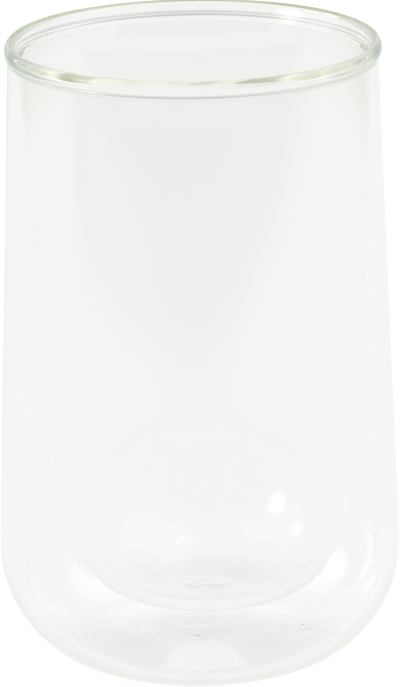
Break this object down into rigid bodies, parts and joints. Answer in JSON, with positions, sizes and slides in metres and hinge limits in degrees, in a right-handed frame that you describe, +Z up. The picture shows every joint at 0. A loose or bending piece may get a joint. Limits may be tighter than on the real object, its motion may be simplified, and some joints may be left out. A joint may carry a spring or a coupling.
{
  "type": "double walled glass cup",
  "caption": "Tall clear glass tumbler with a double blown wall, a sealed air space inside it, a fused rounded lip and a rounded base.",
  "frame": {"origin": "middle of the base, on the table", "axes": "+Z up along the axis of the cup, +Y away from the viewer of the picture, +X to the right in the picture"},
  "size_m": [0.08, 0.08, 0.1264],
  "materials": {
    "wall_glass": "clear fire-polished borosilicate glass, smooth, with slight waves from blowing",
    "lip_glass": "the same glass seen through its thick fused lip, faint green, flame polished",
    "seal_glass": "clear glass drop with a flame-polished skin"
  },
  "bodies": {
    "root": {"outer_shell": "wall_glass", "inner_cup": "wall_glass", "rim_lip": "lip_glass", "vent_seal": "seal_glass"}
  },
  "joints": []
}
